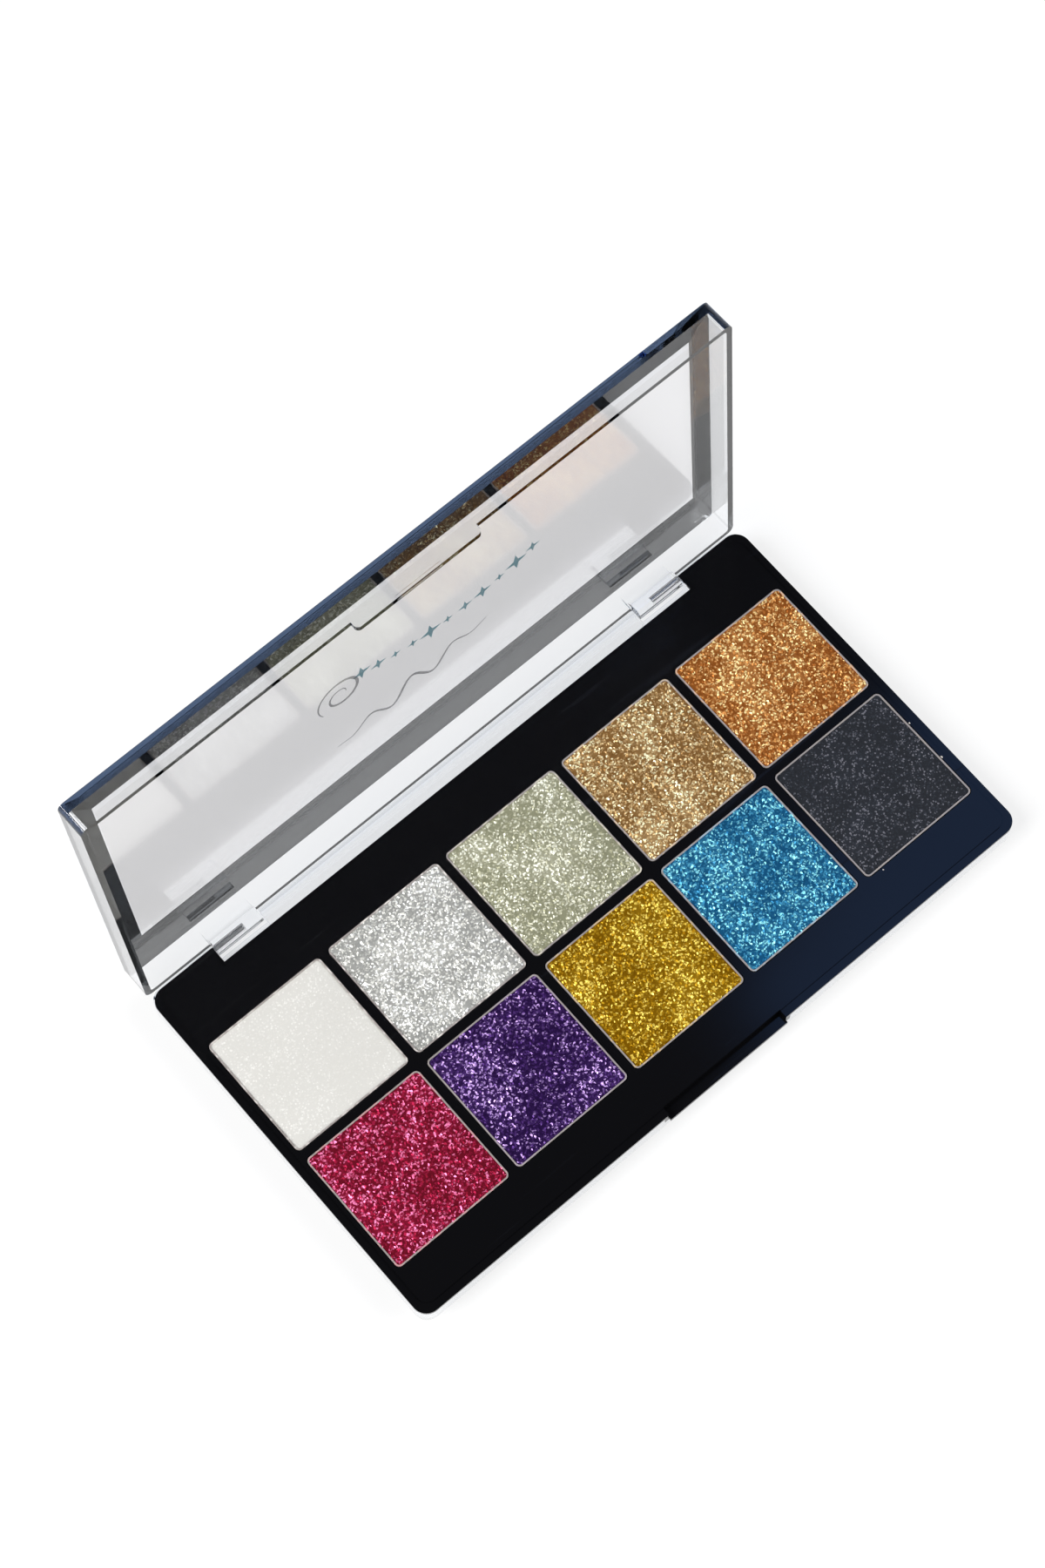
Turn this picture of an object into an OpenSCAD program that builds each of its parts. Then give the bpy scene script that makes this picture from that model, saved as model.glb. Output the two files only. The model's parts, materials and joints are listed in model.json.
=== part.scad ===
// Ten-pan eyeshadow palette: clear bottom shell, black pan tray, ten metal pans with pressed
// glitter, and a clear lid on two pinned knuckles, drawn with the lid open.
// Origin: centre of the underside. X runs along the length, Y back to the hinge, Z up.

/* [Case] */
// Length of the case along X
case_l = 145.5; // [145.5:0.5:152]
// Depth of the case along Y
case_d = 80; // [78:0.5:88]
// Height of the base, up to the deck
base_h = 6; // [6:0.1:7]
// Radius of the case's upright corners
case_r = 3; // [2:0.5:5]
// Chamfer round the bottom edge of the shell
shell_chamfer = 0.6; // [0.2:0.1:1]
// Wall thickness of the clear bottom shell
shell_wall = 1.2; // [0.8:0.1:1.2]
// Floor thickness of the clear bottom shell
shell_floor = 1; // [0.8:0.1:1.2]

/* [Tray] */
// Height of the raised deck above the rim ledge that the lid closes on
deck_step = 0.3; // [0.2:0.1:0.4]
// Width of the rim ledge round the deck
ledge_w = 1.65; // [1.55:0.05:1.65]
// Half length of the hinge bay in the deck's back edge
bay_half = 57.5; // [57.5:0.1:58]
// Depth of the hinge bay, in from the back of the case
bay_depth = 4.1; // [3.9:0.1:4.5]

/* [Pans] */
// Distance from pan to pan
pan_pitch = 28.5; // [27.8:0.1:28.5]
// Outside size of a square pan
pan_size = 26.5; // [24:0.1:26.5]
// Corner radius of a pan
pan_r = 1; // [0.8:0.1:3]
// Height of a pan
pan_h = 3.7; // [3:0.1:3.7]
// Sheet thickness of a pan
pan_t = 0.3; // [0.2:0.05:0.5]
// Centre of the pan grid, measured back from the centre of the case
grid_y = -2.3; // [-3:0.1:-2]
// Depth of the pressed glitter below the pan's rim at its edge
cake_low = 0.2; // [0.1:0.1:1]

/* [Lid] */
// How far the lid's ends stand in from the ends of the case
lid_inset = 0.2; // [0.15:0.05:0.3]
// Height of the lid's side walls
lid_h = 6.4; // [6:0.1:9]
// Thickness of the lid's side walls
lid_wall = 1.3; // [1:0.05:1.3]
// Thickness of the lid's plate at its edge
lid_plate = 1.7; // [1.2:0.1:2.4]
// Rise of the flat window above the lid's edge, up the bevels
bevel_rise = 1; // [0.4:0.1:1.4]
// Width of the bevels at the lid's two ends
bevel_side = 5.3; // [3:0.1:8]
// Width of the bevel along the lid's front edge
bevel_front = 8.05; // [5:0.05:10]
// Width of the bevel along the hinge side
bevel_back = 12.25; // [8:0.05:14]
// How far the lid stands open, counted from closed
open_angle = 93.5; // [0:0.5:105]

/* [Hinge] */
// Distance of the hinge axis in from the back of the case
hinge_in = 0.7; // [0.6:0.05:0.8]
// Distance of the hinge axis below the deck
hinge_drop = 1.4; // [1.35:0.05:1.5]
// Diameter of a hinge pin
pin_d = 1; // [0.8:0.1:1]
// Radial running clearance of a pin in the lid's knuckle
pin_gap = 0.05; // [0.02:0.01:0.1]
// Outside radius of a knuckle
knuckle_r = 1.5; // [1.4:0.05:1.5]
// Inner end of a knuckle along X
knuckle_in = 46.6; // [40:0.1:48]
// Length of a knuckle
knuckle_l = 10.6; // [9:0.1:10.6]

/* [Hidden] */
$fn = 48;

// Shades of the front row and the back row, left to right, each a name and a colour
ROWS = [
    [["magenta", [0.74, 0.13, 0.32]], ["purple", [0.33, 0.20, 0.50]], ["gold", [0.73, 0.56, 0.12]],
        ["blue", [0.16, 0.53, 0.70]], ["black", [0.07, 0.07, 0.08]]],
    [["white", [0.91, 0.90, 0.87]], ["silver", [0.75, 0.76, 0.76]], ["sage", [0.68, 0.71, 0.62]],
        ["rose_gold", [0.72, 0.58, 0.40]], ["copper", [0.78, 0.50, 0.20]]]];
last_col = len(ROWS[0]) - 1;
last_row = len(ROWS) - 1;

// Far enough through a wall for a clean cut
over = 1;

// Levels of the base
deck_t = 1;
shell_h = base_h - deck_t;
ledge_z = base_h - deck_step;

// Wells round the pans, with the glue pads under them
well_gap = 0.2;
well_wall = 0.65;
glue_t = 0.1;
glue_in = 3;
well_floor = base_h - pan_h - glue_t;

// Deck outline
back_y = case_d / 2;
deck_back = back_y - 0.5;
bay_y = back_y - bay_depth;
bay_ledge = 0.7;
bay_gap = 0.2;

// Thumb bay at the front, where the lid's tab drops in
tab_half = 14;
tab_drop = 1.8;
tab_r = 1;
thumb_half = tab_half + 0.3;
thumb_back = back_y - 1.8;
thumb_wall = 1;
thumb_out = thumb_half + thumb_wall;
thumb_lip = 0.5;
thumb_low = 2.9;
thumb_high = 3.8;
thumb_fit = 0.1;

// Catch on the inside of the tab
catch_half = 5;
catch_low = 0.3;
catch_t = 0.6;
catch_out = 0.25;

// Lid, in its closed place
lid_half = [case_l / 2 - lid_inset, back_y];
lid_inner = [lid_half[0] - lid_wall, lid_half[1] - lid_wall];
lid_r = 1.6;
lid_inner_r = 0.7;
rim_z = ledge_z + 0.1;
edge_z = rim_z + lid_h;
window_z = edge_z + bevel_rise;
ceiling_z = edge_z - lid_plate;

// Hinge axis, with its pins, knuckles and ears
hinge_y = back_y - hinge_in;
hinge_z = base_h - hinge_drop;
knuckle_out = knuckle_in + knuckle_l;
pin_in = 50.5;
pin_out = 63;
bore_end_gap = 0.2;
fairing_rise = 2.9;
fairing_run = 1.6;
fairing_root = 1.2;
ear_in = bay_half + 0.1;
ear_out = 63.6;
ear_front = back_y - 2.8;
ear_top = hinge_z + 0.75;
ear_gap = 0.2;
ear_top_gap = 0.05;

// Bay under the knuckles
rail_half = knuckle_in - 0.3;
bed_drop = 0.6;
bay_floor = hinge_z - 2.1;
bed_y = bay_y + bay_gap;
pocket_y = bay_y + 1.2;

function pan_x(col) = (col - last_col / 2) * pan_pitch;
function pan_y(row) = grid_y + (row - last_row / 2) * pan_pitch;

// Rectangle from corner lo to corner hi with round corners of radius r
module round_rect(lo, hi, r) {
    translate([lo[0] + r, lo[1]]) square([hi[0] - lo[0] - 2 * r, hi[1] - lo[1]]);
    translate([lo[0], lo[1] + r]) square([hi[0] - lo[0], hi[1] - lo[1] - 2 * r]);
    for (x = [lo[0] + r, hi[0] - r], y = [lo[1] + r, hi[1] - r])
        translate([x, y]) circle(r = r);
}

// Slab of an outline between two heights
module slab(low, high) {
    translate([0, 0, low]) linear_extrude(high - low) children();
}

// Box from one corner to the other
module block(lo, hi) {
    translate(lo) cube(hi - lo);
}

// Bar along X, from x_lo to x_hi, with its profile drawn in Y and Z
module bar_x(x_lo, x_hi) {
    translate([x_lo, 0, 0]) rotate([90, 0, 90]) linear_extrude(x_hi - x_lo) children();
}

// Bar along Y, from y_lo to y_hi, with its profile drawn in X and Z
module bar_y(y_lo, y_hi) {
    translate([0, y_hi, 0]) rotate([90, 0, 0]) linear_extrude(y_hi - y_lo) children();
}

// Right end of the case, and its mirror image at the left end
module both_sides() {
    children();
    mirror([1, 0, 0]) children();
}

// Rod along the hinge axis
module axis_rod(r, x_lo, x_hi) {
    translate([x_lo, hinge_y, hinge_z]) rotate([0, 90, 0]) cylinder(r = r, h = x_hi - x_lo);
}

// One square pan outline, centred
module pan_outline(size, r) {
    round_rect([-size / 2, -size / 2], [size / 2, size / 2], r);
}

// Outline put at every pan of the grid
module at_pans() {
    for (col = [0 : last_col], row = [0 : last_row])
        translate([pan_x(col), pan_y(row), 0]) children();
}

// ---- bottom shell ----

// Cross section of the shell, half a width wide each way, chamfered at the underside
module shell_profile(half) {
    foot = half - shell_chamfer;
    polygon([[-foot, 0], [foot, 0], [half, shell_chamfer], [half, base_h],
        [-half, base_h], [-half, shell_chamfer]]);
}

module shell_body() {
    half_l = case_l / 2;
    intersection() {
        slab(0, shell_h) round_rect([-half_l, -back_y], [half_l, back_y], case_r);
        bar_x(-half_l, half_l) shell_profile(back_y);
        bar_y(-back_y, back_y) shell_profile(half_l);
    }
}

module base_shell() color([0.86, 0.89, 0.92, 0.5]) {
    inner = [case_l / 2 - shell_wall, back_y - shell_wall];
    root = shell_floor / 2;
    difference() {
        union() {
            difference() {
                shell_body();
                slab(shell_floor, base_h) round_rect(-inner, inner, case_r - shell_wall);
            }
            // Rail behind the deck, between the knuckles
            block([-rail_half, bed_y, shell_h - deck_t], [rail_half, inner[1] + shell_wall / 2, shell_h]);
            // Beds under the knuckles and ears that hold the pins
            both_sides() {
                block([rail_half, bed_y, root], [bay_half, pocket_y, shell_h - bed_drop]);
                block([ear_in, ear_front, root], [ear_out, back_y, ear_top]);
            }
        }
        // Knuckle pockets through the back wall
        both_sides() block([rail_half, pocket_y, bay_floor], [ear_in, case_d, base_h]);
        // Bores for the pressed pins
        both_sides() axis_rod(pin_d / 2, ear_in - over, pin_out);
        // Thumb bay through the front wall
        cut_half = thumb_out + thumb_fit;
        block([-cut_half, -case_d, thumb_low - thumb_fit], [cut_half, -thumb_back + thumb_wall, base_h]);
    }
}

// ---- pan tray ----

// Outline of the deck, set in by `edge` all round and by `bay` along the hinge bay
module deck_outline(edge, bay) {
    side = case_l / 2 - edge;
    difference() {
        round_rect([-side, -back_y + edge], [side, deck_back - edge], case_r - edge / 2);
        translate([-bay_half - bay, bay_y - bay]) square([2 * (bay_half + bay), case_d]);
    }
}

module wells_outline() {
    border = pan_size / 2 + well_gap + well_wall;
    corner = [pan_x(last_col) + border, (pan_y(last_row) - pan_y(0)) / 2 + border];
    translate([0, grid_y]) round_rect(-corner, corner, pan_r + well_wall);
}

module pan_tray() color([0.03, 0.03, 0.035]) {
    bay_front = -thumb_back + thumb_wall;
    difference() {
        union() {
            slab(shell_h, ledge_z) deck_outline(0, 0);
            slab(shell_h, base_h) deck_outline(ledge_w, bay_ledge);
            slab(shell_floor, base_h) wells_outline();
            // Walls and floor lip of the thumb bay
            block([-thumb_out, -back_y, thumb_low], [thumb_out, bay_front, ledge_z]);
            block([-thumb_half, -back_y - thumb_lip, thumb_low], [thumb_half, bay_front, thumb_high]);
        }
        at_pans() slab(well_floor, base_h + over) pan_outline(pan_size + 2 * well_gap, pan_r + well_gap);
        // Thumb bay
        block([-thumb_half, -case_d, thumb_high], [thumb_half, -thumb_back, base_h + over]);
        // Relief over the ears that hold the pins
        both_sides() block([bay_half - over, ear_front - ear_gap, shell_h - over],
            [ear_out + ear_gap, case_d, ear_top + ear_top_gap]);
    }
}

// ---- pans and glitter ----

module pan() color([0.80, 0.79, 0.77])
    difference() {
        slab(base_h - pan_h, base_h) pan_outline(pan_size, pan_r);
        slab(base_h - pan_h + pan_t, base_h + over) pan_outline(pan_size - 2 * pan_t, pan_r - pan_t);
    }

module glitter(shade_color) color(shade_color)
    slab(base_h - pan_h + pan_t, base_h - cake_low) pan_outline(pan_size - 2 * pan_t, pan_r - pan_t);

module pan_glue() color([0.85, 0.82, 0.70])
    at_pans() slab(well_floor, well_floor + glue_t) pan_outline(pan_size - 2 * glue_in, pan_r);

// ---- lid, drawn closed and then opened about the hinge axis ----

// Cross section of the lid from a to b, with bevels of the given widths up to the window
module lid_profile(a, b, bevel_a, bevel_b) {
    polygon([[a, rim_z], [b, rim_z], [b, edge_z], [b - bevel_b, window_z],
        [a + bevel_a, window_z], [a, edge_z]]);
}

module lid_body() {
    intersection() {
        slab(rim_z, window_z) round_rect(-lid_half, lid_half, lid_r);
        bar_x(-lid_half[0], lid_half[0]) lid_profile(-lid_half[1], lid_half[1], bevel_front, bevel_back);
        bar_y(-lid_half[1], lid_half[1]) lid_profile(-lid_half[0], lid_half[0], bevel_side, bevel_side);
    }
}

// One knuckle: a barrel on the hinge axis with a fairing up to the lid's back wall
module knuckle() {
    wall_in = lid_inner[1];
    fairing_z = hinge_z + fairing_rise + fairing_run;
    axis_rod(knuckle_r, knuckle_in, knuckle_out);
    bar_x(knuckle_in, knuckle_out) polygon([
        [hinge_y - knuckle_r, hinge_z], [hinge_y + knuckle_r, hinge_z],
        [hinge_y + knuckle_r, hinge_z + fairing_rise], [back_y, fairing_z],
        [wall_in, fairing_z], [wall_in, rim_z + fairing_root], [hinge_y - knuckle_r, rim_z]]);
}

// Front tab with its catch
module front_tab() {
    tip = rim_z - tab_drop;
    front = -lid_half[1];
    translate([0, front + lid_wall, 0]) rotate([90, 0, 0]) linear_extrude(lid_wall)
        round_rect([-tab_half, tip], [tab_half, rim_z + lid_h / 2], tab_r);
    block([-catch_half, front + lid_wall / 2, tip + catch_low],
        [catch_half, front + lid_wall + catch_out, tip + catch_low + catch_t]);
}

module lid_closed() {
    difference() {
        union() {
            difference() {
                lid_body();
                slab(rim_z - over, ceiling_z) round_rect(-lid_inner, lid_inner, lid_inner_r);
            }
            both_sides() knuckle();
            front_tab();
        }
        both_sides() axis_rod(pin_d / 2 + pin_gap, pin_in - bore_end_gap, knuckle_out + over);
    }
}

module lid() color([0.88, 0.92, 0.96, 0.4])
    translate([0, hinge_y, hinge_z]) rotate([-open_angle, 0, 0])
        translate([0, -hinge_y, -hinge_z]) lid_closed();

// ---- hinge pins ----

module hinge_pin() color([0.62, 0.62, 0.63]) axis_rod(pin_d / 2, pin_in, pin_out);

for (row = [0 : last_row], col = [0 : last_col]) {
    shade = ROWS[row][col];
    translate([pan_x(col), pan_y(row), 0]) {
        pan();
        glitter(shade[1]);
    }
}
base_shell();
pan_tray();
pan_glue();
lid();
mirror([1, 0, 0]) hinge_pin();  // hinge_pin_left
hinge_pin();  // hinge_pin_right
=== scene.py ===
# %% [markdown]
# # An eyeshadow palette in glitter and clear plastic
# A palette like this one is three mouldings and ten pans: a clear shell below, a glossy black tray in
# it, ten drawn metal pans glued in the tray, and a clear lid on two wire pins. The exact parts come
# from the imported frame. This lesson gives them their finishes, presses the glitter in the pans flake
# by flake, prints the lid, and sets up the camera, a white table and soft lights.

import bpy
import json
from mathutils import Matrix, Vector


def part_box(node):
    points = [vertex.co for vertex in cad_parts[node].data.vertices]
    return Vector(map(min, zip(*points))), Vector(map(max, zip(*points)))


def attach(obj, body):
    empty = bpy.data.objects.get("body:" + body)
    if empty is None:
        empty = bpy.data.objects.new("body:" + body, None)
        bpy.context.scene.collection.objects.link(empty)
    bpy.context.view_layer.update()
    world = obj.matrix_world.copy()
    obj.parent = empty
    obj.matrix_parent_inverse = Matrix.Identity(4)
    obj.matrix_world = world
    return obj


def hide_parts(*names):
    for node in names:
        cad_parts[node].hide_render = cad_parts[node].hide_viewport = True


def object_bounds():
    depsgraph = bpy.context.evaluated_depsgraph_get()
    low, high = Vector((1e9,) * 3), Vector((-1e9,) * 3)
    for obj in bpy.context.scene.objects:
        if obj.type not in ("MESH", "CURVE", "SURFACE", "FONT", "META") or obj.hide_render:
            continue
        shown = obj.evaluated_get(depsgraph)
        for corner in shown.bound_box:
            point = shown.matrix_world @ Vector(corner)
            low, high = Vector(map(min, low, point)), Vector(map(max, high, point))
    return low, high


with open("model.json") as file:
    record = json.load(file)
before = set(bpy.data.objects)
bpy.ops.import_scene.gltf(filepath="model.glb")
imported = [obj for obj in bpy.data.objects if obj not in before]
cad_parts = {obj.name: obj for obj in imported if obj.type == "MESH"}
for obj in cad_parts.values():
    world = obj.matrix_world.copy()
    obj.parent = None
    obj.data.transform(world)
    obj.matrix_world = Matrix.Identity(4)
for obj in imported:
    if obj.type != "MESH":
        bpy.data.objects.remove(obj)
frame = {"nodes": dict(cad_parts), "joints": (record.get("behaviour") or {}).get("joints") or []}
nodes = frame["nodes"]
cad_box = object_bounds()

# %% [markdown]
# Blender counts in metres, and a palette is made in millimetres, so every length in this lesson is a
# number of millimetres times one constant. Lengths could also be typed in metres, but slips are easier
# to see in 0.7 * MM than in 0.0007.

# %% Modules and the unit
import json
import math
from collections import namedtuple

import bmesh
import bpy
from mathutils import Matrix, Vector

MM = 0.001
case_size = cad_box[1] - cad_box[0]
print(f"open palette {case_size.x / MM:.1f} x {case_size.y / MM:.1f} x {case_size.z / MM:.1f} mm")

# %% [markdown]
# Materials and Geometry Nodes are both trees of nodes, and their maths reads best as maths. A small
# class wraps one socket, so that `1 - mask * 0.4` adds the Math nodes for it. The nodes could also be
# added and linked one by one, which takes three lines for each and hides the formula.

# %% Sockets that take part in sums
def maths(operation, *values):
    """A Math node on values, of which at least one is a wire."""
    tree = next(value.tree for value in values if isinstance(value, Wire))
    return tree.add("ShaderNodeMath", {"operation": operation}, dict(enumerate(values)))


class Wire:
    """The output of a node, on which Python's operators add Math nodes."""

    def __init__(self, tree, socket):
        self.tree = tree
        self.socket = socket

    def other(self, name):
        """Another output of the same node."""
        return Wire(self.tree, Tree.find(self.socket.node.outputs, name))

    def __add__(self, other):
        return maths("ADD", self, other)

    def __sub__(self, other):
        return maths("SUBTRACT", self, other)

    def __rsub__(self, other):
        return maths("SUBTRACT", other, self)

    def __mul__(self, other):
        return maths("MULTIPLY", self, other)

    def __pow__(self, other):
        return maths("POWER", self, other)

    def __gt__(self, other):
        return maths("GREATER_THAN", self, other)

    def __lt__(self, other):
        return maths("LESS_THAN", self, other)

    __radd__ = __add__
    __rmul__ = __mul__


print("sockets add, subtract, multiply, raise to a power and compare")

# %% [markdown]
# A second class wraps a tree of any kind, and its one method adds any other node. It takes the node's
# type, then its settings, because some of them decide which sockets the node has, and then the value
# or the wire for each socket. One method for all nodes means that there is one habit to learn.

# %% Trees that grow by one method
class Tree:
    """A node tree of any kind, with one method that adds a node."""

    def __init__(self, nodes_and_links):
        self.nodes = nodes_and_links.nodes
        self.links = nodes_and_links.links

    @staticmethod
    def find(sockets, key):
        """The socket with this name, or with this number among those in use."""
        if isinstance(key, int):
            return [socket for socket in sockets if socket.enabled][key]
        return next(socket for socket in sockets if socket.enabled and socket.name == key)

    def plug(self, value, socket):
        if isinstance(value, list):
            for wire in value:
                self.links.new(wire.socket, socket)
        elif isinstance(value, Wire):
            self.links.new(value.socket, socket)
        elif socket.type == "RGBA" and len(value) == 3:
            socket.default_value = (*value, 1)
        else:
            socket.default_value = value

    @staticmethod
    def set_stops(ramp, stops):
        while len(ramp.elements) < len(stops):
            ramp.elements.new(1)
        for element, (position, colour) in zip(ramp.elements, stops):
            element.position = position
            element.color = (*colour, 1)

    def add(self, kind, settings=None, inputs=None, out=0):
        """Adds a node and gives one of its outputs, if it has any."""
        node = self.nodes.new(kind)
        for name, value in (settings or {}).items():
            if name == "stops":
                self.set_stops(node.color_ramp, value)
            else:
                setattr(node, name, value)
        for key, value in (inputs or {}).items():
            self.plug(value, self.find(node.inputs, key))
        has_outputs = any(socket.enabled for socket in node.outputs)
        return Wire(self, self.find(node.outputs, out)) if has_outputs else None


print("trees grow by one method, add")

# %% [markdown]
# The camera stands in front and to the left, high over the table, and looks down at the open palette
# with a long lens, so that the pans hardly shrink with distance. It could be aimed by a constraint at
# the palette's middle, but plain values for its place and turn keep the framing exact.

# %% Camera
LENS = 89.9
CAMERA_PLACE = (-0.1530, -0.1736, 0.6976)
CAMERA_TURN = (20.32, 0.67, -40.48)  # degrees about x, y and z
FAR_ENOUGH = 10

camera_data = bpy.data.cameras.new("camera")
camera_data.lens = LENS
camera_data.clip_end = FAR_ENOUGH
camera = bpy.data.objects.new("camera", camera_data)
camera.location = CAMERA_PLACE
camera.rotation_euler = [math.radians(angle) for angle in CAMERA_TURN]
bpy.context.scene.collection.objects.link(camera)
bpy.context.scene.camera = camera
print(f"camera {camera.location.length:.3f} m from the palette's origin, lens {camera_data.lens:.1f} mm")

# %% [markdown]
# Every finish starts in the same way: an empty material and Object coordinates, which are metres in
# the palette's own frame. A helper returns these, and each finish after it says only what is special.
# A second helper puts a material on the exact parts, whose meshes stay as the frame made them.

# %% Helpers that start a material and put it on a part
def start_material(name):
    """A new material with an empty tree, and the tree's Object coordinates."""
    material = bpy.data.materials.new(name)
    material.use_nodes = True
    tree = Tree(material.node_tree)
    tree.nodes.clear()
    place = tree.add("ShaderNodeTexCoord", out="Object")
    return material, tree, place


def put_on(material, *names):
    """Gives CAD nodes a material in every slot."""
    for name in names:
        for slot in nodes[name].material_slots:
            slot.material = material


print("materials start from", len(nodes), "nodes with plain finishes")

# %% [markdown]
# Clear moulded plastic is mostly an optical effect: a smooth surface that bends light, and a very
# slight colour inside. Face on, light crosses less than 3 mm and stays clear. Light that runs along
# the lid's plate to its edge crosses centimetres, and comes out blue. A tinted surface would colour
# both alike, so the colour is in the volume, as absorption. Lamps shine through by a transparent
# shadow, because true shadows of clear shapes take far longer to work out.

# %% Clear plastic
PLASTIC_IOR = 1.55
PLASTIC_BLUE = (0.20, 0.36, 0.58)
BLUE_DENSITY = 30.0


def clear_plastic(name, varying=None):
    """Clear plastic. varying(tree, place) may give sockets of the shader that change over the piece."""
    material, tree, place = start_material(name)
    principled = {"Base Color": (1, 1, 1), "Roughness": 0.0, "IOR": PLASTIC_IOR, "Transmission Weight": 1.0}
    if varying:
        principled.update(varying(tree, place))
    solid = tree.add("ShaderNodeBsdfPrincipled", inputs=principled)
    in_shadow = tree.add("ShaderNodeLightPath", out="Is Shadow Ray")
    see_through = tree.add("ShaderNodeBsdfTransparent")
    both = tree.add("ShaderNodeMixShader", inputs={0: in_shadow, 1: solid, 2: see_through})
    inside = tree.add("ShaderNodeVolumeAbsorption", inputs={"Color": PLASTIC_BLUE, "Density": BLUE_DENSITY})
    tree.add("ShaderNodeOutputMaterial", inputs={"Surface": both, "Volume": inside})
    return material


put_on(clear_plastic("clear shell plastic"), "base_shell")
print("the shell is clear, with an IOR of", PLASTIC_IOR)

# %% [markdown]
# Two helpers serve nearly every finish that follows. One mixes two colours by a mask. The other is the
# noise from which smears, dust and patches are made, with its size given as a scale per metre.

# %% Helpers for colours and noise
def mix_colour(tree, mask, a, b):
    """Colour a where the mask is 0, and colour b where it is 1."""
    inputs = {"Factor": mask, "A": a, "B": b}
    return tree.add("ShaderNodeMix", {"data_type": "RGBA"}, inputs, out="Result")


def noise(tree, place, scale, detail, roughness=0.5):
    inputs = {"Vector": place, "Scale": scale, "Detail": detail, "Roughness": roughness}
    return tree.add("ShaderNodeTexNoise", inputs=inputs, out="Fac")


print("colours mix, and noise has a scale per metre")

# %% [markdown]
# The lid stands open in the frame, but its window and bevels are easiest to name on the closed lid,
# where they are ranges of x, y and z. The frame gives the hinge's place and the angle from open to
# closed, so one Vector Rotate node turns the coordinates back. An attribute painted on the mesh would
# do the same, but the exact part's mesh stays untouched.

# %% Coordinates of the closed lid
hinge = frame["joints"][0]
hinge_point = Vector(hinge["pos_m"])
closed_angle = math.radians(hinge["range_deg"][0])


def closed_place(tree, place):
    """The coordinates that a point of the open lid has when the lid is closed."""
    inputs = {"Vector": place, "Center": tuple(hinge_point), "Angle": -closed_angle}
    return tree.add("ShaderNodeVectorRotate", {"rotation_type": "X_AXIS"}, inputs)


print(f"the lid closes by {abs(math.degrees(closed_angle)):.1f} degrees about {hinge_point / MM} mm")

# %% [markdown]
# The lid's window has a faint haze that softens what it mirrors, and is a shade greyer than the walls.
# The bevels round it look dark: the plate passes no light there, and shows little but what its
# polished inner face mirrors. That darkness is shade, because light caught in the clear plate leaves
# it elsewhere. Darker plastic in the bevels would also darken the window from the side, so only their
# outer faces get painted shade, which is a nearly black metal to the shader.

# %% Hazy window and bevels with painted shade in the lid
WINDOW_HALF_X = 67.2 * MM
WINDOW_FRONT = -31.9 * MM
WINDOW_BACK = 27.7 * MM
CEILING = 9 * MM
BEVEL_LOW = 12.15 * MM
HAZE = 0.075
HAZE_MARKS = 0.04
WINDOW_GREY = (0.88, 0.86, 0.85)
# The next two values paint shade on the bevels' outer faces: a nearly black metal, and how much of it covers
# them.
BEVEL_PAINTED_SHADE = (0.088, 0.088, 0.086)
BEVEL_SHADE_COVER = 0.85


def lid_zones(tree, place):
    """What changes over the lid: haze in the window, and painted shade on the bevels' outer faces."""
    closed = closed_place(tree, place)
    x = tree.add("ShaderNodeSeparateXYZ", inputs={0: closed}, out="X")
    y = x.other("Y")
    z = x.other("Z")
    inside_x = maths("ABSOLUTE", x) < WINDOW_HALF_X
    window = inside_x * (y > WINDOW_FRONT) * (y < WINDOW_BACK) * (z > CEILING)
    bevel = (z > BEVEL_LOW) * (1 - window)
    marks = noise(tree, closed, scale=60, detail=3)
    grey = mix_colour(tree, window, (1, 1, 1), WINDOW_GREY)
    return {"Roughness": window * (HAZE + HAZE_MARKS * (marks - 0.5)),
            "Base Color": mix_colour(tree, bevel, grey, BEVEL_PAINTED_SHADE),
            "Metallic": bevel * BEVEL_SHADE_COVER}


put_on(clear_plastic("clear lid plastic", lid_zones), "lid")
print(f"window {2 * WINDOW_HALF_X / MM:.1f} x {(WINDOW_BACK - WINDOW_FRONT) / MM:.1f} mm, haze {HAZE}")

# %% [markdown]
# The black tray is polished moulding, so it is nearly a mirror. What makes it believable is small:
# a roughness that wanders a little where fingers have been, hairline scratches, and a few specks of
# dust and stray glitter. An image could hold them, but noise costs nothing and never repeats. The
# scratches are noise stretched 24 times along one direction, and each cell of a Voronoi texture holds
# a speck at its middle, if its own random number is high enough.

# %% Helpers for masks, bumps and the end of a material
def smooth_step(tree, value, low, high, to_low=0.0, to_high=1.0):
    """Goes smoothly from to_low to to_high while the value goes from low to high."""
    settings = {"interpolation_type": "SMOOTHSTEP"}
    inputs = {"Value": value, "From Min": low, "From Max": high, "To Min": to_low, "To Max": to_high}
    return tree.add("ShaderNodeMapRange", settings, inputs)


def bump(tree, height, distance):
    return tree.add("ShaderNodeBump", inputs={"Height": height, "Distance": distance, "Strength": 1.0})


def finish_surface(tree, inputs):
    """A Principled shader with these inputs, at the end of the tree."""
    shader = tree.add("ShaderNodeBsdfPrincipled", inputs=inputs)
    tree.add("ShaderNodeOutputMaterial", inputs={"Surface": shader})


print("masks, bumps and surfaces have helpers")

# %% Glossy black tray
TRAY_BLACK = (0.0026, 0.0026, 0.0032)
DUST = (0.40, 0.38, 0.36)
SCRATCH_TURN = 0.5
SCRATCH_SCALE = (25, 600, 25)
SPECK_RADIUS = 0.045  # in cells
CELLS_WITHOUT_SPECK = 0.95


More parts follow.
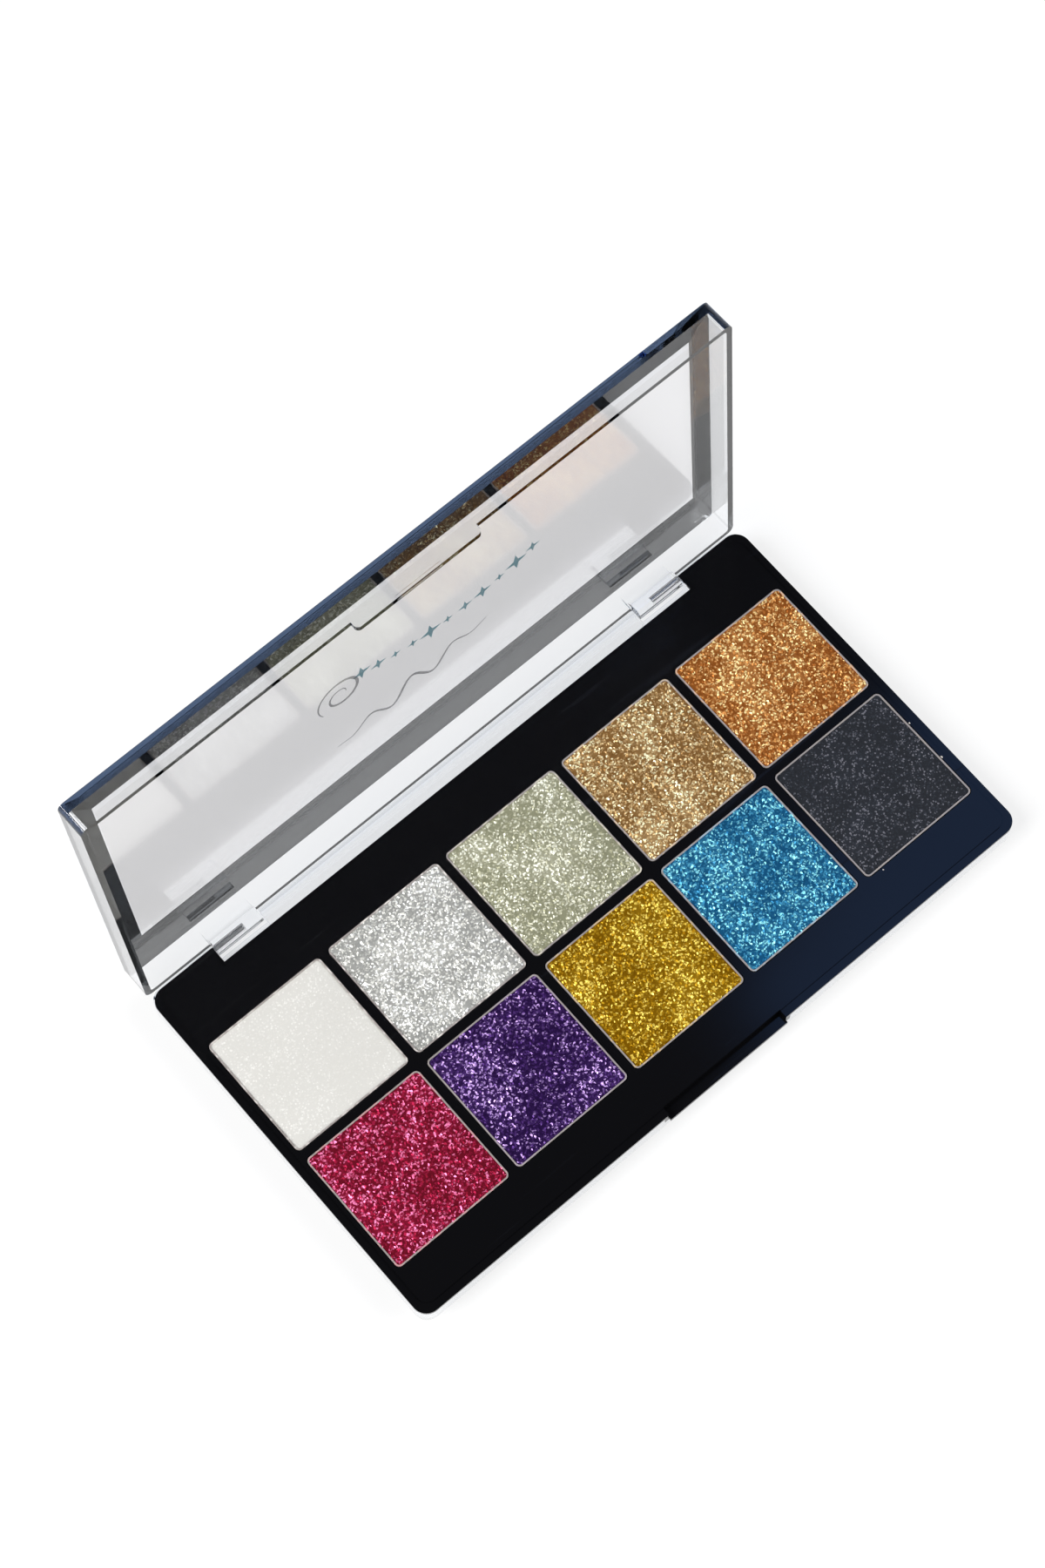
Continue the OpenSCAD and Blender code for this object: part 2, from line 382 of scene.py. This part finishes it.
def glossy_black():
    material, tree, place = start_material("glossy black plastic")
    smears = noise(tree, place, scale=45, detail=3)
    stretched = tree.add("ShaderNodeMapping", inputs={
        "Vector": place, "Rotation": (0, 0, SCRATCH_TURN), "Scale": SCRATCH_SCALE})
    hairs = smooth_step(tree, noise(tree, stretched, scale=1, detail=4), 0.64, 0.70)
    from_middle = tree.add("ShaderNodeTexVoronoi", inputs={"Vector": place, "Scale": 170}, out="Distance")
    chance = tree.add("ShaderNodeSeparateColor", inputs={0: from_middle.other("Color")})
    specks = (from_middle < SPECK_RADIUS) * (chance > CELLS_WITHOUT_SPECK)
    finish_surface(tree, {
        "Base Color": mix_colour(tree, specks, TRAY_BLACK, DUST),
        "Roughness": 0.07 + 0.06 * smears + 0.12 * hairs + 0.4 * specks,
        "IOR": 1.5,
        "Normal": bump(tree, hairs * 0.4 + smears * 0.3, 0.004 * MM)})
    return material


put_on(glossy_black(), "pan_tray")
print("the tray is black and polished, with specks of dust in 1 cell of 20")

# %% [markdown]
# Pressed glitter is a cake of small foil flakes in a little binder. Each flake lies nearly flat but
# not quite, so one catches a lamp and its neighbour doesn't. Each shade is given by three colours:
# painted shade, its body, and painted glints, so the flakes' colour holds painted light and shade
# besides what the lamps give them. Flake sizes, their tilt and their share of foil differ too:
# white is a fine matt powder, and black has few glints.

# %% The ten shades
# Each shade's first colour is painted shade and its third is a painted glint: lit and shaded copies of its
# body colour.
Shade = namedtuple("Shade", "deep body glint flake_mm tilt_degrees foil")
SHADES = {
    "white": Shade((0.53, 0.52, 0.49), (0.56, 0.55, 0.52), (0.65, 0.64, 0.61), 0.34, 5, 0.05),
    "silver": Shade((0.35, 0.35, 0.33), (0.74, 0.73, 0.68), (1.00, 1.00, 1.00), 0.52, 20, 0.42),
    "sage": Shade((0.28, 0.28, 0.18), (0.54, 0.53, 0.40), (1.00, 1.00, 0.86), 0.52, 20, 0.42),
    "rose_gold": Shade((0.22, 0.11, 0.034), (0.60, 0.41, 0.19), (1.00, 1.00, 0.68), 0.54, 22, 0.42),
    "copper": Shade((0.26, 0.078, 0.015), (0.62, 0.29, 0.087), (1.00, 0.83, 0.40), 0.54, 22, 0.42),
    "magenta": Shade((0.14, 0.006, 0.016), (0.35, 0.014, 0.054), (1.00, 0.25, 0.50), 0.56, 22, 0.42),
    "purple": Shade((0.020, 0.007, 0.050), (0.064, 0.026, 0.14), (0.69, 0.44, 0.94), 0.56, 22, 0.42),
    "gold": Shade((0.19, 0.089, 0.002), (0.43, 0.25, 0.013), (1.00, 0.78, 0.15), 0.54, 22, 0.42),
    "blue": Shade((0.009, 0.083, 0.19), (0.047, 0.26, 0.44), (0.35, 0.93, 1.00), 0.56, 22, 0.42),
    "black": Shade((0.024, 0.026, 0.031), (0.037, 0.042, 0.053), (0.18, 0.18, 0.21), 0.36, 14, 0.35),
}
print("shades:", ", ".join(SHADES))

# %% [markdown]
# One function makes every shade's material. Each flake holds a random tone from 0 to 1, which picks
# its colour on a ramp from painted shade to painted glint, so lit and shaded flakes are painted in.
# A broad noise shifts the tones, which paints brighter and darker patches. A texture on a flat cake
# would be simpler, but only real flakes at real angles sparkle as the view turns.

# %% Pressed glitter
PATCH_SCALE = 120
PATCH_STRENGTH = 1.3
BODY_TONE = 0.6
FLAKE_ROUGHNESS = 0.38


def pressed_glitter(name, shade):
    """The cake under the flakes holds no tone, which reads as 0, so it has the painted shade colour."""
    material, tree, place = start_material(f"pressed glitter {name}")
    tone = tree.add("ShaderNodeAttribute", {"attribute_name": "tone"}, out="Fac")
    # The ramp paints shade and glints into each flake's colour, and the noise paints brighter and darker
    # patches.
    patches = noise(tree, place, PATCH_SCALE, detail=3, roughness=0.6) - 0.5
    stops = [(0, shade.deep), (BODY_TONE, shade.body), (1, shade.glint)]
    colour = tree.add("ShaderNodeValToRGB", {"stops": stops}, {0: tone + patches * PATCH_STRENGTH})
    finish_surface(tree, {
        "Base Color": colour, "Metallic": shade.foil, "Roughness": FLAKE_ROUGHNESS,
        "Specular IOR Level": 0.0})
    return material


glitter_materials = {name: pressed_glitter(name, shade) for name, shade in SHADES.items()}
print("glitter materials:", len(glitter_materials))

# %% [markdown]
# The cake itself is a rounded square, slightly domed by the press. A subdivided cube could be bent
# into it, but rings are surer: the outline shrinks towards the middle ring by ring and rises as it
# goes, a fan of triangles closes the top, and one flat face closes the bottom.

# %% The outline of a cake
CAKE_CORNER = 0.7 * MM
CORNER_STEPS = 6


def rounded_square(half, radius):
    """Points of a square with round corners, anticlockwise from the right side."""
    points = []
    for quarter in range(4):
        angle = quarter * math.pi / 2
        centre = Vector((half - radius, half - radius)) @ Matrix.Rotation(-angle, 2)
        for step in range(CORNER_STEPS + 1):
            turn = angle + step / CORNER_STEPS * math.pi / 2
            points.append(centre + radius * Vector((math.cos(turn), math.sin(turn))))
    return points


print("points in an outline:", len(rounded_square(13 * MM, CAKE_CORNER)))

# %% One cake as a closed mesh
RINGS = 10
DOME_POWER = 4
CROWN = 0.15 * MM


def cake_mesh(low, high):
    """The cake in the box from low to high, with its middle higher by the crown."""
    centre = (low + high) / 2
    outline = rounded_square((high.x - low.x) / 2, CAKE_CORNER)
    count = len(outline)
    mesh = bmesh.new()

    def ring(scale, z):
        return [mesh.verts.new((centre.x + p.x * scale, centre.y + p.y * scale, z)) for p in outline]

    rings = [ring(1, low.z)]
    for i in range(RINGS):
        scale = 1 - i / RINGS
        rings.append(ring(scale, high.z + CROWN * (1 - scale ** DOME_POWER)))
    for outer, inner in zip(rings, rings[1:]):
        for i in range(count):
            j = (i + 1) % count
            mesh.faces.new((outer[i], outer[j], inner[j], inner[i]))
    top = mesh.verts.new((centre.x, centre.y, high.z + CROWN))
    for i in range(count):
        mesh.faces.new((rings[-1][i], rings[-1][(i + 1) % count], top))
    mesh.faces.new(list(reversed(rings[0])))
    data = bpy.data.meshes.new("cake")
    mesh.to_mesh(data)
    mesh.free()
    return data


print(f"a cake has {RINGS + 1} rings, and its middle is {CROWN / MM:.2f} mm higher")

# %% [markdown]
# Flakes and the lid's print both repeat small shapes, which is a job for Geometry Nodes. A helper
# starts such a tree: it takes and gives a mesh, and has a named input for each size, seed and
# material. It also keeps the inputs' identifiers, by which a modifier is set later.

# %% A helper that starts a Geometry Nodes tree
def start_geometry(name, kinds):
    """A tree that takes and gives a mesh, and has an input of each kind that is named."""
    group = bpy.data.node_groups.new(name, "GeometryNodeTree")
    face = group.interface
    face.new_socket("Geometry", in_out="OUTPUT", socket_type="NodeSocketGeometry")
    face.new_socket("Geometry", in_out="INPUT", socket_type="NodeSocketGeometry")
    ids = {}
    for key, kind in kinds.items():
        ids[key] = face.new_socket(key, in_out="INPUT", socket_type="NodeSocket" + kind).identifier
    tree = Tree(group)
    entry = tree.add("NodeGroupInput").socket.node
    given = {socket.name: Wire(tree, socket) for socket in entry.outputs if socket.name}
    return group, ids, tree, given


print("a Geometry Nodes tree starts with a mesh and its named inputs")

# %% [markdown]
# The flake tree scatters points over the top of the cake, puts a thin six-sided plate at each, turned
# and tilted at random, and stores a random tone on it. Particles could scatter them too, but a tree
# shows each step. The seed is an input, so every pan differs and every run is the same. Realize
# Instances and Set Material end the tree.

# %% The flake tree
SMALLEST_FLAKE = 0.65
LARGEST_FLAKE = 1.25
TONE_POWER = 1.4  # above 1, more flakes are dark than bright


def flake_tree():
    group, ids, tree, given = start_geometry("press flakes", {
        "Flakes per square metre": "Float", "Flake width": "Float", "Flake thickness": "Float",
        "Tilt": "Float", "Seed": "Int", "Material": "Material"})

    def random(low, high, number):
        inputs = {"Min": low, "Max": high, "Seed": given["Seed"] + number}
        return tree.add("FunctionNodeRandomValue", {"data_type": "FLOAT"}, inputs)

    normal = tree.add("GeometryNodeInputNormal")
    faces_up = tree.add("ShaderNodeSeparateXYZ", inputs={0: normal}, out="Z") > 0.5
    spots = tree.add("GeometryNodeDistributePointsOnFaces", {"distribute_method": "RANDOM"}, {
        "Mesh": given["Geometry"], "Selection": faces_up,
        "Density": given["Flakes per square metre"], "Seed": given["Seed"]})
    plate = tree.add("GeometryNodeMeshCylinder", {"fill_type": "NGON"}, {
        "Vertices": 6, "Radius": given["Flake width"] * 0.5, "Depth": given["Flake thickness"]})
    lean = tree.add("ShaderNodeCombineXYZ", inputs={
        "X": given["Tilt"] * random(-1.0, 1.0, 1),
        "Y": given["Tilt"] * random(-1.0, 1.0, 2),
        "Z": random(0.0, math.pi, 3)})
    turn = tree.add("FunctionNodeRotateRotation", {"rotation_space": "LOCAL"}, {
        0: spots.other("Rotation"), 1: lean})
    flakes = tree.add("GeometryNodeInstanceOnPoints", inputs={
        "Points": spots, "Instance": plate, "Rotation": turn,
        "Scale": random(SMALLEST_FLAKE, LARGEST_FLAKE, 4)})
    toned = tree.add("GeometryNodeStoreNamedAttribute", {"data_type": "FLOAT", "domain": "INSTANCE"}, {
        "Geometry": flakes, "Name": "tone", "Value": random(0.0, 1.0, 5) ** TONE_POWER})
    cake = tree.add("GeometryNodeJoinGeometry", inputs={0: [toned, given["Geometry"]]})
    real = tree.add("GeometryNodeRealizeInstances", inputs={"Geometry": cake})
    done = tree.add("GeometryNodeSetMaterial", inputs={"Geometry": real, "Material": given["Material"]})
    tree.add("NodeGroupOutput", inputs={0: done})
    return group, ids


flake_group, flake_inputs = flake_tree()
print("inputs of the flake tree:", ", ".join(flake_inputs))

# %% [markdown]
# A modifier runs a mesh through a tree. Its inputs are set by their identifiers before the object is
# first evaluated. The evaluated result then becomes a plain mesh and the modifier goes, because the
# export keeps neither modifiers of this kind nor instances.

# %% A function that grows a mesh through a tree
def grown(name, mesh, group, ids, values):
    """A plain mesh object, made by running a mesh through a Geometry Nodes tree."""
    source = bpy.data.objects.new(name + " source", mesh)
    bpy.context.scene.collection.objects.link(source)
    modifier = source.modifiers.new("grow", "NODES")
    modifier.node_group = group
    for key, value in values.items():
        modifier[ids[key]] = value
    bpy.context.view_layer.update()
    evaluated = source.evaluated_get(bpy.context.evaluated_depsgraph_get())
    result = bpy.data.meshes.new_from_object(evaluated)
    result.name = name
    bpy.data.objects.remove(source)
    bpy.data.meshes.remove(mesh)
    piece = bpy.data.objects.new(name, result)
    bpy.context.scene.collection.objects.link(piece)
    return piece


print("a tree with", len(flake_inputs), "inputs is ready to grow flakes")

# %% [markdown]
# The frame has a plain block of glitter in each pan, for weight and contact. Each pressed cake fills
# its block's box, rides on the base, and stands for that block.

# %% Press the ten shades
FLAKES_PER_PAN = 5400
FLAKE_THICKNESS = 0.03 * MM
SEED_STEP = 100  # keeps the seeds of one pan clear of the next one's

for number, (name, shade) in enumerate(SHADES.items()):
    low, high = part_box("glitter_" + name)
    area = (high.x - low.x) * (high.y - low.y)
    values = {"Flakes per square metre": FLAKES_PER_PAN / area, "Flake width": shade.flake_mm * MM,
              "Flake thickness": FLAKE_THICKNESS, "Tilt": math.radians(shade.tilt_degrees),
              "Seed": SEED_STEP * number, "Material": glitter_materials[name]}
    cake = grown("pressed_" + name, cake_mesh(low, high), flake_group, flake_inputs, values)
    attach(cake, "base")
    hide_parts("glitter_" + name)
    print(cake.name, len(cake.data.polygons), "faces")

# %% [markdown]
# The window has a small print on its outer face: a row of stars along an arc, over a loose flourish.
# It could be a mask in the lid's material, but ink has some thickness and an edge. Stars repeat one
# shape along a path, so this branch of the tree pinches every second corner of an eight-sided plate
# towards the middle, and puts such plates along a curve. All of it is drawn for the closed lid.

# %% Stars along an arc
STAR_ARC = {"Start": (-11 * MM, -6 * MM, 0), "Middle": (8 * MM, 3 * MM, 0), "End": (29 * MM, -3 * MM, 0)}
PINCH = 0.68
SMALLEST_STAR = 0.45


def star_branch(tree, given):
    plate = tree.add("GeometryNodeMeshCylinder", {"fill_type": "NGON"}, {
        "Vertices": 8, "Radius": given["Star radius"], "Depth": given["Ink thickness"]})
    corner = tree.add("GeometryNodeInputIndex")
    narrow = 1 - PINCH * maths("MODULO", corner, 2)
    shape = tree.add("ShaderNodeCombineXYZ", inputs={"X": narrow, "Y": narrow, "Z": 1.0})
    point = tree.add("GeometryNodeInputPosition")
    pinched = tree.add("ShaderNodeVectorMath", {"operation": "MULTIPLY"}, {0: point, 1: shape})
    star = tree.add("GeometryNodeSetPosition", inputs={"Geometry": plate, "Position": pinched})
    arc = tree.add("GeometryNodeCurveQuadraticBezier", inputs={"Resolution": 32, **STAR_ARC})
    spots = tree.add("GeometryNodeCurveToPoints", {"mode": "COUNT"}, {"Curve": arc, "Count": given["Stars"]})
    size = tree.add("FunctionNodeRandomValue", {"data_type": "FLOAT"}, {
        "Min": SMALLEST_STAR, "Max": 1.0, "Seed": given["Seed"]})
    stars = tree.add("GeometryNodeInstanceOnPoints", inputs={
        "Points": spots, "Instance": star, "Scale": size})
    real = tree.add("GeometryNodeRealizeInstances", inputs={"Geometry": stars})
    return tree.add("GeometryNodeSetMaterial", inputs={"Geometry": real, "Material": given["Star ink"]})


print("a star's inner corners lie at", round(1 - PINCH, 2), "of its radius")

# %% [markdown]
# The flourish is a wave and a spiral. Both are curves, and one flat bar swept along them makes the
# strokes, thin at their ends and fuller in the middle, as a brush leaves them. Each branch of the tree
# ends in its own ink, and the last join puts them together.

# %% Strokes along a wave and a spiral
WAVE_LINE = {"Start": (-19 * MM, 15 * MM, 0), "End": (17 * MM, 10 * MM, 0)}
WAVE_HEIGHT = 2.6 * MM
WAVES = 3.5
SPIRAL = {"Rotations": 1.6, "Start Radius": 1.2 * MM, "End Radius": 5.5 * MM, "Height": 0.0}
SPIRAL_PLACE = (-16 * MM, -4 * MM, 0)
THINNEST = 0.25


def stroke_branch(tree, given):
    along = tree.add("GeometryNodeSplineParameter", out="Factor")
    swell = maths("SINE", along * math.pi)
    line = tree.add("GeometryNodeCurvePrimitiveLine", inputs=WAVE_LINE)
    fine_line = tree.add("GeometryNodeResampleCurve", inputs={"Curve": line, "Count": 90})
    lift = WAVE_HEIGHT * swell * maths("SINE", along * (2 * math.pi * WAVES))
    offset = tree.add("ShaderNodeCombineXYZ", inputs={"Y": lift})
    wave = tree.add("GeometryNodeSetPosition", inputs={"Geometry": fine_line, "Offset": offset})
    spiral = tree.add("GeometryNodeCurveSpiral", inputs={"Resolution": 32, **SPIRAL})
    swirl = tree.add("GeometryNodeTransform", inputs={"Geometry": spiral, "Translation": SPIRAL_PLACE})
    paths = tree.add("GeometryNodeJoinGeometry", inputs={0: [wave, swirl]})
    bar = tree.add("GeometryNodeCurvePrimitiveQuadrilateral", inputs={
        "Width": given["Stroke width"], "Height": given["Ink thickness"]})
    strokes = tree.add("GeometryNodeCurveToMesh", inputs={
        "Curve": paths, "Profile Curve": bar, "Scale": THINNEST + (1 - THINNEST) * swell, "Fill Caps": True})
    return tree.add("GeometryNodeSetMaterial", inputs={"Geometry": strokes, "Material": given["Stroke ink"]})


print("the wave rises and falls", WAVES, "times")

# %% The tree for the lid's print
def print_tree():
    group, ids, tree, given = start_geometry("print on the lid", {
        "Stars": "Int", "Star radius": "Float", "Stroke width": "Float", "Ink thickness": "Float",
        "Seed": "Int", "Star ink": "Material", "Stroke ink": "Material"})
    branches = [star_branch(tree, given), stroke_branch(tree, given)]
    drawing = tree.add("GeometryNodeJoinGeometry", inputs={0: branches})
    tree.add("NodeGroupOutput", inputs={0: drawing})
    return group, ids


print_group, print_inputs = print_tree()
print("inputs of the print's tree:", ", ".join(print_inputs))

# %% [markdown]
# Screen-printed ink is matt and covers the plastic unevenly, so a fine noise makes it thinner and
# glossier in places. The finished drawing lies flat on the closed lid's window, and its mesh is then
# turned about the hinge to where the lid stands open. It rides on the lid.

# %% Two inks
def ink(name, colour, cover):
    """Screen-printed ink, a little thinner in places."""
    material, tree, place = start_material(name)
    thin = noise(tree, place, scale=900, detail=2)
    finish_surface(tree, {
        "Base Color": colour, "Roughness": 0.35 + 0.2 * thin, "Alpha": cover + 0.3 * (thin - 0.5)})
    return material


teal_ink = ink("teal ink", (0.06, 0.40, 0.48), 0.6)
grey_ink = ink("grey ink", (0.10, 0.10, 0.11), 0.45)
print("inks:", teal_ink.name, "and", grey_ink.name)

# %% Print the lid
INK_GAP = 0.01 * MM

to_hinge = Matrix.Translation(hinge_point)
open_lid = to_hinge @ Matrix.Rotation(closed_angle, 4, "X") @ to_hinge.inverted()
shut_lid = open_lid.inverted()
window_z = max((shut_lid @ vertex.co).z for vertex in nodes["lid"].data.vertices)
values = {"Stars": 11, "Star radius": 2.6 * MM, "Stroke width": 0.7 * MM, "Ink thickness": 0.02 * MM,
          "Seed": 7, "Star ink": teal_ink, "Stroke ink": grey_ink}
lid_print = grown("lid_print", bpy.data.meshes.new("blank"), print_group, print_inputs, values)
half_ink = max(abs(vertex.co.z) for vertex in lid_print.data.vertices)
lid_print.data.transform(open_lid @ Matrix.Translation((0, 0, window_z + INK_GAP + half_ink)))
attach(lid_print, "lid")
print(f"print {2 * half_ink / MM:.3f} mm thick on the window at {window_z / MM:.2f} mm, closed")

# %% [markdown]
# The pans are drawn aluminium. Only their rims show, as thin bright lines, and some of each shade's
# dust sits on them. Ten materials could be set up by hand, but one function makes the metal with the
# dust's colour as its input, so a change reaches all ten.

# %% Pan metal with dust
RIM_METAL = (0.50, 0.45, 0.42)
DUST_COVER = 0.5


def pan_metal(name, dust):
    material, tree, place = start_material(f"pan aluminium {name}")
    powder = smooth_step(tree, noise(tree, place, scale=700, detail=3), 0.50, 0.62)
    grain = noise(tree, place, scale=2500, detail=2)
    finish_surface(tree, {
        "Base Color": mix_colour(tree, powder * DUST_COVER, RIM_METAL, dust),
        "Metallic": 0.65 - powder * 0.35,
        "Roughness": 0.28 + 0.14 * grain + 0.3 * powder,
        "Normal": bump(tree, grain, 0.005 * MM)})
    return material


for name, shade in SHADES.items():
    put_on(pan_metal(name, shade.body), "pan_" + name)
print("pans:", len(SHADES))

# %% [markdown]
# The hinge pins are cut from drawn steel wire, with fine lines along their length: noise that is
# squeezed across the wire. The glue pads under the pans are hidden in the closed tray, but a part that
# someone takes apart should still look right, so they get the cloudy yellow of dried glue.

# %% Steel wire
STEEL = (0.42, 0.42, 0.43)
LINES_ALONG_X = (60, 4000, 4000)


def steel_wire():
    material, tree, place = start_material("drawn steel wire")
    along = tree.add("ShaderNodeMapping", inputs={"Vector": place, "Scale": LINES_ALONG_X})
    lines = noise(tree, along, scale=1, detail=2)
    finish_surface(tree, {
        "Base Color": STEEL, "Metallic": 1.0, "Roughness": 0.22 + 0.2 * lines,
        "Normal": bump(tree, lines, 0.004 * MM)})
    return material


put_on(steel_wire(), "hinge_pin_left", "hinge_pin_right")
print("the pins are drawn steel")

# %% Dried glue
GLUE_THIN = (0.62, 0.55, 0.36)
GLUE_THICK = (0.78, 0.74, 0.60)


def dried_glue():
    material, tree, place = start_material("dried glue")
    clouds = noise(tree, place, scale=300, detail=3)
    finish_surface(tree, {
        "Base Color": mix_colour(tree, clouds, GLUE_THIN, GLUE_THICK),
        "Roughness": 0.25 + 0.3 * clouds, "Normal": bump(tree, clouds, 0.02 * MM)})
    return material


put_on(dried_glue(), "pan_glue")
print("the pads are dried glue")

# %% [markdown]
# The table is a white surface that glows like a light table, so that the clear plastic has white
# behind it and shadows stay faint. A plain white board under strong lamps would be as bright, but its
# shadows would be dark. It is stage, not part of the object.

# %% White table
TABLE_HALF = 3.0
TABLE_GREY = (0.20, 0.20, 0.20)
TABLE_GLOW = 0.74


def white_table():
    material, tree, place = start_material("white table")
    finish_surface(tree, {
        "Base Color": TABLE_GREY, "Roughness": 0.9, "Specular IOR Level": 0.1,
        "Emission Color": (1.0, 1.0, 1.0), "Emission Strength": TABLE_GLOW})
    return material


table_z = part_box("base_shell")[0].z
corners = [(x * TABLE_HALF, y * TABLE_HALF, table_z) for x, y in ((-1, -1), (1, -1), (1, 1), (-1, 1))]
table_data = bpy.data.meshes.new("table")
table_data.from_pydata(corners, [], [(0, 1, 2, 3)])
table_data.materials.append(white_table())
table = bpy.data.objects.new("table", table_data)
bpy.context.scene.collection.objects.link(table)
print(f"table {2 * TABLE_HALF:.0f} m wide")

# %% [markdown]
# Black gloss shows whatever is above it, so the middle of the ceiling stays dark and the lamps stand
# round it. Two large soft panels at the sides light the scene and make the flakes sparkle, and a dim
# blue panel puts a cool sheen on the front right of the deck. Small lamps would sparkle more, but
# their hard shadows would fall from the lid onto the pans.

# %% Soft panels
def panel(name, place, aim, size, power, colour=(1, 1, 1)):
    """A rectangular lamp that faces the point it is aimed at. Sizes are in metres, power in watts."""
    data = bpy.data.lights.new(name, "AREA")
    data.shape = "RECTANGLE"
    data.size, data.size_y = size
    data.energy = power
    data.color = colour
    lamp = bpy.data.objects.new(name, data)
    lamp.location = place
    lamp.rotation_euler = (Vector(aim) - Vector(place)).to_track_quat("-Z", "Y").to_euler()
    bpy.context.scene.collection.objects.link(lamp)
    return lamp


lamps = [
    panel("key", place=(-0.9, 0.2, 0.9), aim=(0, 0, 0), size=(0.7, 0.9), power=24),
    panel("fill", place=(0.9, -0.7, 0.8), aim=(0, 0, 0), size=(0.8, 0.8), power=16.8),
    panel("cool sheen", place=(0.40, 0.08, 0.90), aim=(0.05, -0.03, 0), size=(0.26, 0.30), power=0.2,
          colour=(0.2, 0.42, 1.0)),
]
print("lamps:", len(lamps))

# %% [markdown]
# The surroundings give the clear plastic and the tray something to mirror. A picture of a studio would
# do, but a smooth change from a bright horizon to a dark ceiling is enough, and its height is one
# coordinate of the direction. The colours are shown as they are, without a film look on top.

# %% Surroundings, bright near the horizon and dark overhead
HORIZON = 0.75
OVERHEAD = 0.02
SKY_COLOUR = (0.95, 0.97, 1.0)

world = bpy.data.worlds.new("studio")
bpy.context.scene.world = world
world.use_nodes = True
sky = Tree(world.node_tree)
sky.nodes.clear()
direction = sky.add("ShaderNodeTexCoord", out="Generated")
height = sky.add("ShaderNodeSeparateXYZ", inputs={0: direction}, out="Z")
glow = smooth_step(sky, height, 0.2, 0.75, to_low=HORIZON, to_high=OVERHEAD)
background = sky.add("ShaderNodeBackground", inputs={"Color": SKY_COLOUR, "Strength": glow})
sky.add("ShaderNodeOutputWorld", inputs={"Surface": background})
bpy.context.scene.view_settings.view_transform = "Standard"
print(f"the sky goes from {HORIZON} low down to {OVERHEAD} at the top")

# %% [markdown]
# Light that enters a clear wall bounces inside it many times before it leaves, and each time that it
# runs out of bounces a black spot shows. So the limits are raised. Caustics, the bright curls of light
# that clear plastic throws, stay off, because at few samples they are only noise.

# %% Light that bounces inside clear plastic
cycles = bpy.context.scene.cycles
cycles.max_bounces = 24
cycles.glossy_bounces = 16
cycles.transmission_bounces = 20
cycles.caustics_reflective = False
cycles.caustics_refractive = False
print("bounces:", cycles.max_bounces)

# %% [markdown]
# Finishes and flakes must not change the palette's size. The box of the exact parts was kept at the
# start.

# %% Finish
print("palette finished")
